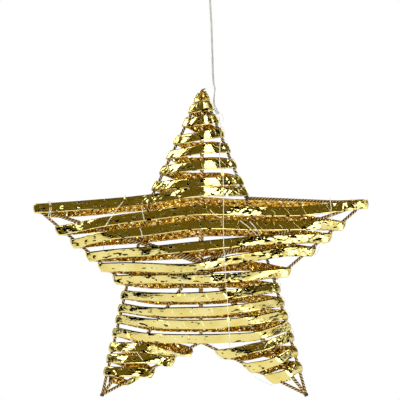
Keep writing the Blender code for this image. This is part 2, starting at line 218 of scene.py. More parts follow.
# The lead: two clear strands side by side, which cross where they leave the sleeve
leadCord = {
    "strandRadius": 0.52,
    "coreRadius": 0.16,
    "apart": 0.5,
    "route": [
        (13.9, -7, 154.5),
        (13, -7, 160),
        (13.4, -6.8, 166),
        (14.1, -6.2, 172),
        (12.9, -5.4, 178),
        (12.2, -4.6, 186),
        (11.6, -3.2, 205),
        (10.6, -1.2, 235),
        (9.3, -0.2, 258),
        (8.7, 0, 263.4),
    ],
    "sleeveRadius": 1.6,
    "sleeveRoute": [(14.05, -7, 154.1), (15.2, -7, 151.5), (17.4, -7.2, 147.6)],
}


def addTubes(name, lines, radii, sides, materials, slots=None):
    # Several round tubes in one piece; radii has one number, or one list, for each line
    points, faces, faceSlots = [], [], []
    for i, line in enumerate(lines):
        first = len(points)
        for k, centre in enumerate(line):
            before, after = line[max(k - 1, 0)], line[min(k + 1, len(line) - 1)]
            axes = squareAxes((after - before).normalized())
            radius = radii[i][k] if isinstance(radii[i], list) else radii[i]
            for side in range(sides):
                points.append(tuple(centre + around(axes, 2 * math.pi * side / sides, radius)))
        made = tubeFaces(len(line), sides, first)
        faces += made
        faceSlots += [slots[i] if slots else 0] * len(made)
    return makePiece(name, points, faces, materials, faceSlots)


def addLead():
    clear, copper, steel = clearInsulation(), tinnedCopper(), platedSteel()
    route = smoothRoute(leadCord["route"], 1.5)
    strands = [[], []]
    for place in route:
        # The two strands lie one behind the other in the first stretch above the sleeve
        turn = math.radians(90) * max(0, 1 - abs(place.z - 170) / 18)
        offset = Vector((math.cos(turn), math.sin(turn), 0)) * leadCord["apart"]
        strands[0].append(place + offset)
        strands[1].append(place - offset)
    radii = [leadCord["strandRadius"]] * 2 + [leadCord["coreRadius"]] * 2
    lead = addTubes("leadStrands", strands + strands, radii, 10, [clear, copper], [0, 0, 1, 1])
    sleeveLine = smoothRoute(leadCord["sleeveRoute"], 0.7)
    sleeveRadii = [
        leadCord["sleeveRadius"] * (0.86 + 0.14 * min(1, k / 2, (len(sleeveLine) - 1 - k) / 2))
        for k in range(len(sleeveLine))
    ]
    sleeve = addTubes("leadSleeve", [sleeveLine], [sleeveRadii], 16, [clear])
    for piece, node in ((lead, "lead"), (sleeve, "lead_sleeve")):
        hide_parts(node)
        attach(piece, "root")
    for node in ("lead_ferrule", "hanging_ring"):
        frame["nodes"][node].data.materials.clear()
        frame["nodes"][node].data.materials.append(steel)


addLead()

# The wire frame: a hand-bent outline between five tips and five valleys, and ridges to a raised centre.
# The thread's real turns are too fine to show in the render, so they are drawn several times coarser
starFrame = {
    "tips": {
        "top": (1.5, 172),
        "right": (163, 59),
        "lower_right": (105, -132),
        "lower_left": (-99, -133),
        "left": (-164, 53),
    },
    "valleys": {
        "upper_right": (45, 64),
        "lower_right": (73, -18),
        "bottom": (0, -80),
        "lower_left": (-74, -23),
        "upper_left": (-49, 66),
    },
    "halfDepth": 35,
    "wireRadius": 1.2,
    "woundRadius": 1.48,
    "sides": 12,
    "ringSpacing": 0.8,
    "threadPitch": 6.4,
    "threadStarts": 2,
    "threadRelief": 0.14,
    "centreCut": 1,
    "tipCut": 1.5,
    "valleyCut": 0.5,
}
tips, valleys = starFrame["tips"], starFrame["valleys"]
corners = [place for pair in zip(tips.values(), valleys.values()) for place in pair]
ridges = [(name, place) for name, place in tips.items()] + [("bottom", valleys["bottom"])]


# From the painted shadow between two strands to the painted highlight on the crest of one. The upright
# wires in the middle are the brighter
threadColourWithPaintedShadeAndHighlight = {
    "gold": [(0.08, "#74501F"), (0.2, "#B5873A"), (0.3, "#EDC77C"), (0.5, "#FBE6B4")],
    "brown": [(0.08, "#36240E"), (0.2, "#6E4F22"), (0.3, "#B8934F"), (0.5, "#E6CB92")],
}


# Steel wire wound with lurex thread: brown-gold spiral stripes of painted shade between the strands and
# painted highlight on their crests, with a dull sparkle on each strand
def lurexThread(shade):
    made, tree, shader = newMaterial(shade + " lurex thread on steel wire")
    place = addNode(tree, "UVMap", {"uv_map": "threadTurns"})
    parts = addNode(tree, "SeparateXYZ", {"Vector": place})
    turn = addNode(tree, "Math", {"operation": "PINGPONG", 0: (parts, "X"), 1: 0.5})
    whole = addNode(tree, "TexCoord", {})
    fray = addNode(tree, "TexNoise", {"Scale": 0.9 / mm, "Vector": (whole, "Object")})
    rough = addNode(tree, "Math", {"operation": "MULTIPLY_ADD", 0: fray, 1: 0.25, 2: -0.12})
    stripe = addNode(tree, "Math", {"operation": "ADD", 0: turn, 1: rough})
    # The ramp paints shade between the strands and a highlight on each crest, over the thread's own colour
    tone = addNode(tree, "ValToRGB", {"Fac": stripe, "stops": threadColourWithPaintedShadeAndHighlight[shade]})
    spread = addNode(tree, "MapRange", {"Value": stripe, "From Max": 0.5, "To Min": 0.6, "To Max": 0.32})
    bump = addNode(tree, "Bump", {"Strength": 0.4, "Distance": 0.2 * mm, "Height": fray})
    setNode(tree, shader, {"Base Color": tone, "Metallic": 0.7, "Roughness": spread, "Normal": bump})
    return made


def threadRings(start, end):
    # Rings along a straight wire, twisted with the thread, which stands out in a rounded spiral
    along = (end - start).normalized()
    length = (end - start).length
    axes = squareAxes(along)
    sides, pitch = starFrame["sides"], starFrame["threadPitch"]
    count = max(2, round(length / starFrame["ringSpacing"]))
    points, turnShares = [], []
    for ring in range(count + 1):
        reach = length * ring / count
        for side in range(sides):
            share = side / sides
            angle = 2 * math.pi * (share - reach / pitch)
            # share counts round the thread itself, so the spiral runs along the columns of points
            swell = math.cos(2 * math.pi * share * starFrame["threadStarts"])
            radius = starFrame["woundRadius"] + starFrame["threadRelief"] * (swell - 0.4)
            points.append(tuple(start + along * reach + around(axes, angle, radius)))
            turnShares.append(share * starFrame["threadStarts"])
    return points, turnShares, count + 1


def addWire(name, node, start, end, finish):
    points, turnShares, ringCount = threadRings(start, end)
    piece = makePiece(name, points, tubeFaces(ringCount, starFrame["sides"]), [finish])
    layer = piece.data.uv_layers.new(name="threadTurns")
    for polygon in piece.data.polygons:
        shares = [turnShares[piece.data.loops[k].vertex_index] for k in polygon.loop_indices]
        seam = max(shares) - min(shares) > 1
        for k, share in zip(polygon.loop_indices, shares):
            layer.data[k].uv = (share + (starFrame["threadStarts"] if seam and share < 0.5 else 0), 0)
    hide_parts(node)
    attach(piece, "root")


def between(start, end, startCut, endCut):
    start, end = Vector(start), Vector(end)
    along = (end - start).normalized()
    return start + along * startCut, end - along * endCut


def addFrameWires():
    thread, upright = lurexThread("brown"), lurexThread("gold")
    for i, (x, z) in enumerate(corners):
        nextX, nextZ = corners[(i + 1) % len(corners)]
        start, end = between((x, 0, z), (nextX, 0, nextZ), 0, 0)
        addWire(f"outlineWire{i + 1:02d}", f"edge_wire_{i + 1:02d}", start, end, thread)
    for faceName, side in (("front", -1), ("back", 1)):
        for name, (x, z) in ridges:
            centre = (0, side * starFrame["halfDepth"], 0)
            start, end = between(centre, (x, 0, z), starFrame["centreCut"], starFrame["tipCut"])
            title = "".join(word.capitalize() for word in name.split("_"))
            finish = upright if name in ("top", "bottom") else thread
            addWire(f"{faceName}Ridge{title}", f"{faceName}_wire_to_{name}", start, end, finish)
    cut = starFrame["valleyCut"]
    for side in ("left", "right"):
        upper, lower = valleys["upper_" + side], valleys["lower_" + side]
        start, end = between((upper[0], 0, upper[1]), (lower[0], 0, lower[1]), cut, cut)
        addWire(f"{side}InnerWire", f"side_wire_{side}", start, end, thread)
    print("frame wires made")


addFrameWires()

# Where wires meet they are bound with a few turns of darker thread, and a wire end stands out at the top
bindings = {
    "knots": [
        ((-99, 0, -133), (0.4, 0, 1), 1.7),
        ((105, 0, -132.2), (-0.3, 0, 1), 1.7),
        ((46, -0.4, 64.6), (1, 0, 0.25), 1.9),
        ((-49, -0.4, 66), (1, 0, -0.2), 1.6),
        ((0, -0.4, -80), (1, 0, 0), 1.7),
        ((0, -35, 0.4), (1, 0, 0), 1.7),
        ((0, 35, 0.4), (1, 0, 0), 1.7),
    ],
    "turns": 2.8,
    "coilSteps": 45,
    "pitchInRadii": 1.9,
    "threadRadius": 0.5,
    "hook": [(-0.4, -1.4, 169.6), (0.8, -2.6, 171.6), (2.6, -3, 172.6), (4.6, -3, 172.9)],
    "hookRadius": 0.55,
}


# Dark brown waxed thread, tightly wound
def waxedThread():
    made, tree, shader = newMaterial("dark waxed thread")
    place = addNode(tree, "TexCoord", {})
    twist = addNode(tree, "TexNoise", {"Scale": 1.4 / mm, "Vector": (place, "Object")})
    tone = addNode(tree, "ValToRGB", {"Fac": twist, "stops": [(0.35, "#2A1C0C"), (0.65, "#5E4526")]})
    bump = addNode(tree, "Bump", {"Strength": 0.4, "Distance": 0.2 * mm, "Height": twist})
    setNode(tree, shader, {"Base Color": tone, "Roughness": 0.55, "Normal": bump})
    return made


def addBindings():
    finish = waxedThread()
    lines = []
    for centre, along, radius in bindings["knots"]:
        centre, along = Vector(centre), Vector(along).normalized()
        axes = squareAxes(along)
        coil = []
        for k in range(bindings["coilSteps"] + 1):
            turn = bindings["turns"] * k / bindings["coilSteps"]
            reach = (turn - bindings["turns"] / 2) * bindings["threadRadius"] * bindings["pitchInRadii"]
            coil.append(centre + along * reach + around(axes, 2 * math.pi * turn, radius))
        lines.append(coil)
    radii = [bindings["threadRadius"]] * len(lines)
    lines.append(smoothRoute(bindings["hook"], 0.5))
    piece = addTubes("threadBindings", lines, radii + [bindings["hookRadius"]], 6, [finish])
    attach(piece, "root")


addBindings()

# The ribbon: a mirror-gold film that bridges the wires, front run first and then behind to the next turn.
# A turn is its region, the height at its right end, the places that its front run passes and its left end
ribbonFilm = {
    "width": 9.6,
    "thickness": 0.16,
    "clearance": 1,
    "edgeBulge": 3.3,
    "loopCrown": 1,
    "loopFrom": 38,
    "loopInset": 1.6,
    "mostLean": 0.4,
    "legLean": 1.1,
    "leanFade": 20,
    "stepAlong": 1.35,
    "stepsAcross": 8,
    "crown": 0.34,
    "slack": 0.055,
    "mostSlack": 2.4,
    "smoothing": 2,
    "loopSteps": 5,
    "tiltFade": 8,
    "stiffness": 0.6,
    "rolledEdgePaintedDark": range(10, 17),
}
halfWidth = ribbonFilm["width"] / 2
filmOut = starFrame["wireRadius"] + ribbonFilm["clearance"]
turns = [
    ("star", 166, [(1.5, 166)], 164),
    ("star", 156, [(1.5, 155.5)], 153),
    ("star", 143, [(1.5, 141.5)], 140),
    ("star", 129.5, [(1.5, 126)], 122),
    ("star", 114, [(1.5, 112.5)], 107),
    ("star", 98.5, [(1, 96.5)], 92),
    ("star", 81.5, [(1, 79.4)], 76),
    ("star", 70.5, [(2, 70.2), (-12, 69.3), (-55, 62.5), (-101, 58)], 53.5),
    ("star", 58, [(129, 54), (99, 51), (55, 50.5), (0, 52), (-51, 46.5), (-95, 40.5)], 31),
    ("star", 36, [(99, 37), (59, 36.5), (0, 38), (-51, 31.5), (-91, 27)], 18),
    ("star", 24, [(99, 23.5), (59, 22), (0, 17), (-51, 11.5), (-91, 8)], 5),
    ("star", 10.5, [(84, 10.5), (59, 7), (21, 1), (0, -4), (-21, -5.5), (-68, -4.5)], -5.5),
    ("star", -10.5, [(39, -14), (0, -15.3), (-51, -16.5)], -18),
    ("star", -25.5, [(49, -28.5), (24, -31.5), (0, -33.3), (-51, -34)], -33),
    ("star", -39.5, [(49, -44), (24, -47), (0, -48), (-51, -48.6)], -46),
    ("star", -52.5, [(49, -57.5), (24, -60), (0, -61), (-51, -60)], -57),
    ("star", -63.5, [(69, -69), (49, -73.5), (0, -75.5), (-51, -74.5)], -70),
    ("left_leg", -90, [(-41, -87.5), (-59, -84.5)], -85),
    ("left_leg", -100, [(-52, -96)], -96),
    ("left_leg", -111, [(-66, -109.5)], -109),
    ("right_leg", -74, [(68, -81), (49, -85.5), (34, -89.5)], -92.5),
    ("right_leg", -88.5, [(79, -96), (64, -102)], -106),
    ("right_leg", -104.5, [(84, -112)], -117),
]
# The run behind the star, where it doesn't simply follow the two front runs that it joins
backPoints = {
    7: [(-147, 49), (-55, 56), (0, 60), (39, 58), (99, 57), (140, 57)],
    16: [(-60, -79), (-36, -84)],
    19: [(-86, -114.5)],
    22: [],
}
backRegions = {16: "left_leg"}
ribbonEnds = {19: (-76, -118.5), 22: (91, -113.5)}
# How far these back runs have come down towards the next front run, halfway along
backShares = {1: 0.6, 2: 0.5, 3: 0.8, 4: 0.8, 5: 0.7, 6: 0.8}
# Where a front run is gathered up along its lower edge: from x to x, and the share of its width left
gathers = {17: (-50, -24, 0.3)}
# Where a front run turns its face up or down: from x to x, and by how many degrees
faceUp = {
    3: [(-33, -14, -9)],
    4: [(-40, -21, -9)],
    5: [(-47, -28, -9)],
    6: [(-54, -35, -9)],
    8: [(-152, -104, 25), (22, 66, -20), (140, 175, -18)],
    9: [(110, 150, -16)],
    10: [(-64, -44, 15), (-52, -28, -9), (32, 84, -16), (76, 128, -2)],
    11: [(-62, -6, -8), (-14, 66, -12), (62, 90, 22)],
    12: [(-52, -10, -7)],
    13: [(-92, -20, -18)],
    14: [(-94, -36, -18), (20, 78, -18)],
    15: [(-96, -36, -18), (20, 84, -18)],
    16: [(-98, -36, -18), (20, 90, -18)],
    17: [(-88, -46, 30)],
    18: [(-86, -26, 30)],
    19: [(-90, -44, 30)],
    20: [(24, 70, 27)],
}
# Stretches of a front run that were crumpled in winding: from x to x, and how hard
crumples = {
    0: [(-20, 20, 0.5)],
    1: [(-16, -6, 0.5), (8, 20, 0.4)],
    2: [(-30, -8, 0.25), (10, 30, 0.3)],
    3: [(-30, -16, 0.25), (18, 34, 0.3)],
    4: [(-40, -24, 0.25), (20, 36, 0.3)],
    5: [(-44, -24, 0.25), (22, 40, 0.35)],
    6: [(-56, -24, 0.25), (24, 46, 0.4)],
    7: [(-58, -34, 0.9), (20, 44, 0.4), (-34, -12, 0.15)],
    8: [(24, 64, 0.3), (-154, -146, 0.2), (146, 170, 0.4)],
    9: [(-130, -98, 0.2), (112, 142, 0.3)],
    10: [(-45, -28, 0.2), (38, 126, 0.2)],
    11: [(-10, 60, 0.12), (92, 116, 0.4)],
    12: [(-88, -74, 0.8), (-20, 40, 0.15)],
    13: [(28, 42, 0.25), (64, 80, 0.3)],
    14: [(72, 88, 0.3)],
    15: [(74, 94, 0.3)],
    16: [(-92, -78, 0.3), (76, 96, 0.4)],
    17: [(-96, -86, 0.3), (-60, -34, 0.6)],
    18: [(-100, -88, 0.3), (-42, -24, 0.6)],
    19: [(-100, -90, 0.3), (-54, -40, 0.5)],
    20: [(70, 92, 0.5)],
    21: [(84, 96, 0.3)],
    22: [(88, 104, 0.2)],
}
# Stretches with slanting sharp creases, whose insides are painted dark as shade
flecksWithPaintedShade = {
    0: [(-20, 20, 0.8)],
    1: [(-20, 20, 1)],
    2: [(-20, 24, 0.8)],
    3: [(-26, 28, 0.7)],
    4: [(-34, 30, 0.7)],
    5: [(-40, 36, 0.8)],
    6: [(-50, 42, 0.9)],
    7: [(-60, -8, 1), (-8, 44, 0.8)],
    8: [(-140, 20, 0.4), (20, 64, 1), (140, 165, 0.8)],
    9: [(-127, -98, 0.9), (-96, 108, 0.4), (110, 138, 0.7)],
    10: [(-98, -66, 1), (-60, -30, 1.2), (36, 124, 1.5)],
    11: [(-8, 84, 1.3), (84, 104, 0.8)],
    12: [(-30, 52, 1), (-88, -72, 1)],
    13: [(-60, -20, 0.3), (28, 42, 0.9)],
    14: [(-84, -56, 1.2), (30, 84, 0.5)],
    15: [(-80, -50, 1.2), (50, 92, 0.6)],
    16: [(-86, -40, 0.5), (40, 90, 0.4)],
    17: [(-90, -60, 0.8), (-60, -30, 1)],
    18: [(-92, -30, 0.7)],
    19: [(-92, -50, 0.7)],
    20: [(30, 90, 0.8)],
    21: [(56, 95, 0.3)],
}


def crossing(start, end, z):
    low, high = sorted((start[1], end[1]))
    if not low <= z <= high or high - low < 1e-9:
        return None
    return (z - start[1]) / (end[1] - start[1])


def outlineCrossings(z):
    found = []
    for start, end in zip(corners, corners[1:] + corners[:1]):
        share = crossing(start, end, z)
        if share is not None:
            found.append(start[0] + (end[0] - start[0]) * share)
    return sorted(found)


def edgeX(z, region, side):
    # Where the outline is at this height, on the left or right side of the star or of one leg
    found = outlineCrossings(z)
    low = z < valleys["bottom"][1]
    if region == "left_leg":
        inside = [x for x in found if x < 0]
        return min(inside) if side == "left" else (max(inside) if low else 0)
    if region == "right_leg":
        inside = [x for x in found if x > 0]
        return max(inside) if side == "right" else (min(inside) if low else 0)
    return min(found) if side == "left" else max(found)


def section(z, region):
    # (x, depth) of the frame at this height, from left to right
    if region == "star":
        z = max(min(z, tips["top"][1] - 0.5), valleys["bottom"][1] + 0.1)
        keep = [name for name, _ in ridges]
    else:
        keep = ["lower_" + region.split("_")[0]]
    found = [(edgeX(z, region, side), 0) for side in ("left", "right")]
    for name, place in ridges:
        share = crossing((0, 0), place, z) if name in keep else None
        if share is not None:
            found.append((place[0] * share, starFrame["halfDepth"] * (1 - share)))
    return sorted(found)


def tautDepth(x, z, region):
    # How far in front of the plane y = 0 a taut film lies, bridging the frame's wires
    hull = []
    for place in section(z, region):
        while len(hull) > 1:
            (x1, d1), (x2, d2) = hull[-2:]
            if (x2 - x1) * (place[1] - d1) < (d2 - d1) * (place[0] - x1):
                break
            hull.pop()
        hull.append(place)
    if not hull[0][0] < x < hull[-1][0]:
        return 0
    for (x1, d1), (x2, d2) in zip(hull, hull[1:]):
        if x1 <= x <= x2:
            share = (x - x1) / max(x2 - x1, 1e-9)
            loose = 0
            if min(d1, d2) < 0.1:
                loose = min(ribbonFilm["slack"] * (x2 - x1), ribbonFilm["mostSlack"])
            return d1 + (d2 - d1) * share + 4 * loose * share * (1 - share)
    return 0


def slopeAt(line, i):
    before, after = line[max(i - 1, 0)], line[min(i + 1, len(line) - 1)]
    return (after[1] - before[1]) / (after[0] - before[0])


def heightAlong(line, x):
    line = sorted(line)
    if x <= line[0][0]:
        return line[0][1]
    if x >= line[-1][0]:
        return line[-1][1]
    i = max(k for k in range(len(line) - 1) if line[k][0] <= x)
    (x1, z1), (x2, z2) = line[i], line[i + 1]
    span = x2 - x1
    t = (x - x1) / span
    keep = 2 * t**3 - 3 * t**2 + 1
    bend = (t**3 - 2 * t**2 + t) * slopeAt(line, i) + (t**3 - t**2) * slopeAt(line, i + 1)
    return keep * z1 + (1 - keep) * z2 + span * bend


def endPlace(z, region, side):
    # Where the ribbon at this height folds round the outline, and how far the fold leans for each
    # millimetre up. Round a steeply slanting wire the fold stays nearly upright, and stands out below it
    outward = 1 if side == "right" else -1
    tipX, tipZ = tips[side]
    if region == "star" and abs(z - tipZ) < halfWidth:
        return tipX, 0
    low, high = edgeX(z - halfWidth, region, side), edgeX(z + halfWidth, region, side)
    most = ribbonFilm["legLean" if (region, side) == ("right_leg", "left") else "mostLean"]
    lean = max(-most, min(most, (high - low) / (2 * halfWidth)))
    shift = lean * halfWidth
    return outward * max(outward * (low + shift), outward * (high - shift)), lean


def frontLine(turn):
    region, right, middle, left = turns[turn]
    rightEnd = (endPlace(right, region, "right")[0], right)
    return [rightEnd] + middle + [(endPlace(left, region, "left")[0], left)]


def backLine(turn):
    # From this turn's left end, behind the star, to the right end of the next
    here = frontLine(turn)
    left = here[-1]
    right = ribbonEnds[turn] if turn in ribbonEnds else frontLine(turn + 1)[0]
    if turn in backPoints:
        return [left] + backPoints[turn] + [right]
    after = frontLine(turn + 1)
    steps = max(3, round((right[0] - left[0]) / (10 if turn in backShares else 30)))
    most, early = backShares.get(turn, 0.4), 5 if turn in backShares else 10
    middle = []
    for step in range(1, steps):
        share = step / steps
        x = left[0] + (right[0] - left[0]) * share
        blend = most + (1 - most) * share**6 - most * (1 - share) ** early
        middle.append((x, (1 - blend) * heightAlong(here, x) + blend * heightAlong(after, x)))
    return [left] + middle + [right]


def filmRow(x, z, lean, region, side):
    # One row of points across the film where it lies on the front (side -1) or back (side 1) wires
    shares = [2 * k / ribbonFilm["stepsAcross"] - 1 for k in range(ribbonFilm["stepsAcross"] + 1)]
    depths = [tautDepth(x + lean * s * halfWidth, z + s * halfWidth, region) for s in shares]
    # The film is stiff across its width, so where a wire lifts its middle the edges rise too
    middle, spread = (depths[-1] + depths[0]) / 2, (depths[-1] - depths[0]) / 2
    lift = max(depth - middle - spread * s for s, depth in zip(shares, depths))
    stiff = ribbonFilm["stiffness"]
    row = []
    for s, depth in zip(shares, depths):
        flat = middle + spread * s + lift
        reach = stiff * flat + (1 - stiff) * (depth + lift * 0.5) + filmOut
        row.append(Vector((x + lean * s * halfWidth, side * reach, z + s * halfWidth)))
    return row


def runRows(line, region, side, endLeans):
    first, last = line[0][0], line[-1][0]
    inset = math.copysign(ribbonFilm["loopInset"], last - first)
    count = max(4, round(abs(last - first) / ribbonFilm["stepAlong"]))
    rows = []
    for k in range(count + 1):
        x = first + inset + (last - first - 2 * inset) * k / count
        lean = endLeans[0] * max(0, 1 - abs(x - first) / ribbonFilm["leanFade"])
        lean += endLeans[1] * max(0, 1 - abs(x - last) / ribbonFilm["leanFade"])
        rows.append(filmRow(x, heightAlong(line, x), lean, region, side))
    return rows


def loopRows(x, z, lean, outward, fromSide):
    # The loop round an outline wire, from one face of the star to the other
    across = ribbonFilm["stepsAcross"]
    rows = []
    turnFrom = ribbonFilm["loopFrom"]
    for k in range(ribbonFilm["loopSteps"] + 1):
        angle = math.radians(turnFrom + (180 - 2 * turnFrom) * k / ribbonFilm["loopSteps"])
        row = []
        for n in range(across + 1):
            s = 2 * n / across - 1
            bulge = ribbonFilm["edgeBulge"] + ribbonFilm["loopCrown"] * (1 - s * s)
            px = x + lean * s * halfWidth + outward * bulge * math.sin(angle)
            row.append(Vector((px, fromSide * filmOut * math.cos(angle), z + s * halfWidth)))
        rows.append(row)
    return rows


def shareAt(x, first, last, fade):
    # 1 inside a stretch, less over the last millimetres at each end of it, and below 0 outside
    return min(1, (x - first) / fade, (last - x) / fade)


def tiltRows(rows, stretches):
    # Turns the film's face up about its own middle line, over each stretch from x to x
    for row in rows:
        middle = sum(row, Vector()) / len(row)
        degrees = 0
        for first, last, most in stretches:
            degrees += most * max(0, shareAt(middle.x, first, last, ribbonFilm["tiltFade"]))
        shift = math.tan(math.radians(degrees))
        for point in row:
            point.y += (point.z - middle.z) * shift


def gatherRow(row, share):
    low = row[0].copy()
    for k, point in enumerate(row):
        row[k] = low + (point - low) * share


def windingRows(firstTurn, lastTurn):
    rows, marks = [], []
    for turn in range(firstTurn, lastTurn + 1):
        region = turns[turn][0]
        front, back = frontLine(turn), backLine(turn)
        rightLean = endPlace(front[0][1], region, "right")[1]
        leftLean = endPlace(front[-1][1], region, "left")[1]
        endLean = 0 if turn in ribbonEnds else endPlace(back[-1][1], turns[turn + 1][0], "right")[1]
        frontRows = runRows(front, region, -1, (rightLean, leftLean))
        tiltRows(frontRows, faceUp.get(turn, []))
        rightLoop = loopRows(*front[0], rightLean, 1, 1)
        if turn in gathers:
            first, last, least = gathers[turn]
            for row in frontRows:
                ease = max(0, min(1, (row[0].x - first) / (last - first)))
                gatherRow(row, 1 - (1 - least) * ease * ease * (3 - 2 * ease))
            for k, row in enumerate(rightLoop):
                gatherRow(row, 1 - (1 - least) * (k + 1) / len(rightLoop))
        stages = [
            ("loop", rightLoop),
            ("front", frontRows),
            ("loop", loopRows(*front[-1], leftLean, -1, -1)),
            ("back", runRows(back, backRegions.get(turn, region), 1, (leftLean, endLean))),
        ]
        for kind, made in stages:
            rows += made
            marks += [(kind, turn)] * len(made)
    return rows, marks


def smoothRows(rows, times):
    for _ in range(times):
        eased = [rows[0]]
        for before, here, after in zip(rows, rows[1:], rows[2:]):
            eased.append([(a + 2 * b + c) / 4 for a, b, c in zip(before, here, after)])
        rows = eased + [rows[-1]]
    return rows


def rowNormals(rows):
    normals = []
    for i, row in enumerate(rows):
        before, after = rows[max(i - 1, 0)], rows[min(i + 1, len(rows) - 1)]
        line = []
        for k in range(len(row)):
            along = after[k] - before[k]
            across = row[min(k + 1, len(row) - 1)] - row[max(k - 1, 0)]
            line.append(across.cross(along).normalized())
        normals.append(line)
    return normals


# Crinkles of the film, in millimetres: a length and a height for slow waves, twist and ripples. A fold is
# its direction across the film in degrees, half the distance between its crests and where it starts
filmCreases = {
    "wave": (42, 0.35),
    "twist": (55, 3),
    "ripple": (11, 0.1),
    "folds": [(24, 4.6, 0.2), (-38, 6.1, 0.9), (68, 3.7, 1.4)],
    "foldHeight": 0.5,
    "everywhere": 0.05,
    "onBack": 0.8,
    "crumpleFade": 6,
    "fleckFade": 3,
    "leastFlecks": 0.2,
    "dents": 200,
    "dentSeed": 41,
    "dentReach": 4,
    "dentRadius": (0.9, 1.5),
    "dentDepth": (0.08, 0.22),
}


def foldsAt(reach, across):
    # Straight creases in a few directions, with flat facets between them
    height = 0
    sway = 0.5 * noise.noise(Vector((reach / 17, across / 12, 8.8)))
    for direction, length, start in filmCreases["folds"]:
        angle = math.radians(direction)
        phase = (reach * math.cos(angle) + across * math.sin(angle)) / length + start + sway
        height += abs(phase % 2 - 1) - 0.5
    return height


def crumpleAt(x, mark):
    kind, turn = mark
    if kind == "back":
        return filmCreases["onBack"]
    strength = filmCreases["everywhere"]
    if kind == "front":
        for first, last, hard in crumples.get(turn, []):
            strength = max(strength, hard * shareAt(x, first, last, filmCreases["crumpleFade"]))
    return strength


def fleckAt(x, mark):
    kind, turn = mark
    strength = filmCreases["leastFlecks"]
    if kind == "front":
        for first, last, hard in flecksWithPaintedShade.get(turn, []):
            strength = max(strength, hard * shareAt(x, first, last, filmCreases["fleckFade"]))
    return strength


def creaseHeight(reach, across, x, mark):
    # The last coordinate of each noise only sets it apart from the others
    wave, twist, ripple = (filmCreases[name] for name in ("wave", "twist", "ripple"))
    strength = crumpleAt(x, mark)
    height = wave[1] * noise.noise(Vector((reach / wave[0], 0, 3.7)))
    turned = math.tan(math.radians(twist[1]))
    height += across * turned * noise.noise(Vector((reach / twist[0], 0, 9.1)))
    height += ripple[1] * noise.noise(Vector((reach / ripple[0], across / 6, 1.3)))
    uneven = 0.6 + 0.8 * noise.noise(Vector((reach / 13, across / 9, 6.2)))
    return height + strength * uneven * filmCreases["foldHeight"] * foldsAt(reach, across)


def dentsAlong(length):
    # Pin dents, scattered by a fixed seed: place along and across, radius and depth
    scatter = random.Random(filmCreases["dentSeed"])
    dents = []
    for _ in range(filmCreases["dents"]):
        place = (scatter.uniform(0, length), scatter.uniform(-halfWidth, halfWidth))
        sizes = (scatter.uniform(*filmCreases["dentRadius"]), scatter.uniform(*filmCreases["dentDepth"]))
        dents.append((*place, *sizes))
    return sorted(dents)


def lengthsAlong(rows, k):
    lengths = [0]
    for before, after in zip(rows, rows[1:]):
        lengths.append(lengths[-1] + (after[k] - before[k]).length)
    return lengths


def crinkled(rows, marks):
    rows = smoothRows(rows, ribbonFilm["smoothing"])
    normals = rowNormals(rows)
    middle = ribbonFilm["stepsAcross"] // 2
    lengths = lengthsAlong(rows, middle)
    dents, window = dentsAlong(lengths[-1]), filmCreases["dentReach"]
    shaped, nextDent = [], 0
    for i, row in enumerate(rows):
        reach = lengths[i]
        while nextDent < len(dents) and dents[nextDent][0] < reach - window:
            nextDent += 1
        near = []
        for dent in dents[nextDent:]:
            if dent[0] > reach + window:
                break
            near.append(dent)
        line = []
        for k, point in enumerate(row):
            share = 2 * k / (len(row) - 1) - 1
            height = ribbonFilm["crown"] * (1 - share**2) * (0.4 if marks[i][0] == "loop" else 1)
            height += creaseHeight(reach, share * halfWidth, point.x, marks[i])
            for along, across, radius, depth in near:
                away = ((reach - along) ** 2 * 0.5 + (share * halfWidth - across) ** 2) / radius**2
                height -= depth * math.exp(-away)
            line.append(point + normals[i][k] * height)
        shaped.append(line)
    strengths = []
    for row, mark in zip(rows, marks):
        # These turns' front runs get a painted dark reflection along their rolled top edge
        rim = 1 if mark[0] == "front" and mark[1] in ribbonFilm["rolledEdgePaintedDark"] else 0
        strengths.append((crumpleAt(row[middle].x, mark), fleckAt(row[middle].x, mark), rim))
    return shaped, lengths, strengths


def leafRows(leaf):
    # A short loose end of film as (x, y, z) of its lower and upper edge, pleated if it has many places
    rows, steps = [], ribbonFilm["stepsAcross"]
    for low, high in leaf:
        low, high = Vector(low), Vector(high)
        rows.append([low + (high - low) * (k / steps) for k in range(steps + 1)])
    return rows, lengthsAlong(rows, 0), [filmFolds["leafMarks"]] * len(rows)


def filmPiece(name, strips, finishes, nodes):
    points, uvs, marks, faces, slots = [], [], [], [], []
    for shaped, lengths, strengths in strips:
        origin = len(points)
        across = len(shaped[0])
        stride = 2 * across
        normals = rowNormals(shaped)
        for row, line, reach, strength in zip(shaped, normals, lengths, strengths):
            for sheet in (0, 1):
                for k, point in enumerate(row):
                    points.append(tuple(point - line[k] * (sheet * ribbonFilm["thickness"])))
                    # One unit of the film's map is 10 mm
                    uvs.append((reach * 0.1, k / (across - 1) * ribbonFilm["width"] * 0.1))
                    marks.append(strength)
        for i in range(len(shaped) - 1):
            a, b = origin + i * stride, origin + (i + 1) * stride
            for k in range(across - 1):
                faces.append([a + k, a + k + 1, b + k + 1, b + k])
                faces.append([a + across + k, b + across + k, b + across + k + 1, a + across + k + 1])
                slots += [0, 1]
            faces.append([a, b, b + across, a + across])
            faces.append([a + across - 1, a + stride - 1, b + stride - 1, b + across - 1])
            slots += [0, 0]
        for start, flip in ((origin, False), (origin + (len(shaped) - 1) * stride, True)):
            for k in range(across - 1):
                cap = [start + k, start + k + 1, start + across + k + 1, start + across + k]
                faces.append(cap if flip else cap[::-1])
                slots.append(0)
    piece = makePiece(name, points, faces, finishes, slots, uvs, "filmLength")
    for k, title in enumerate(("crumple", "fleck", "rim")):
        values = [mark[k] for mark in marks]
        piece.data.attributes.new(title, "FLOAT", "POINT").data.foreach_set("value", values)
    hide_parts(*nodes)
    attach(piece, "root")
    return piece
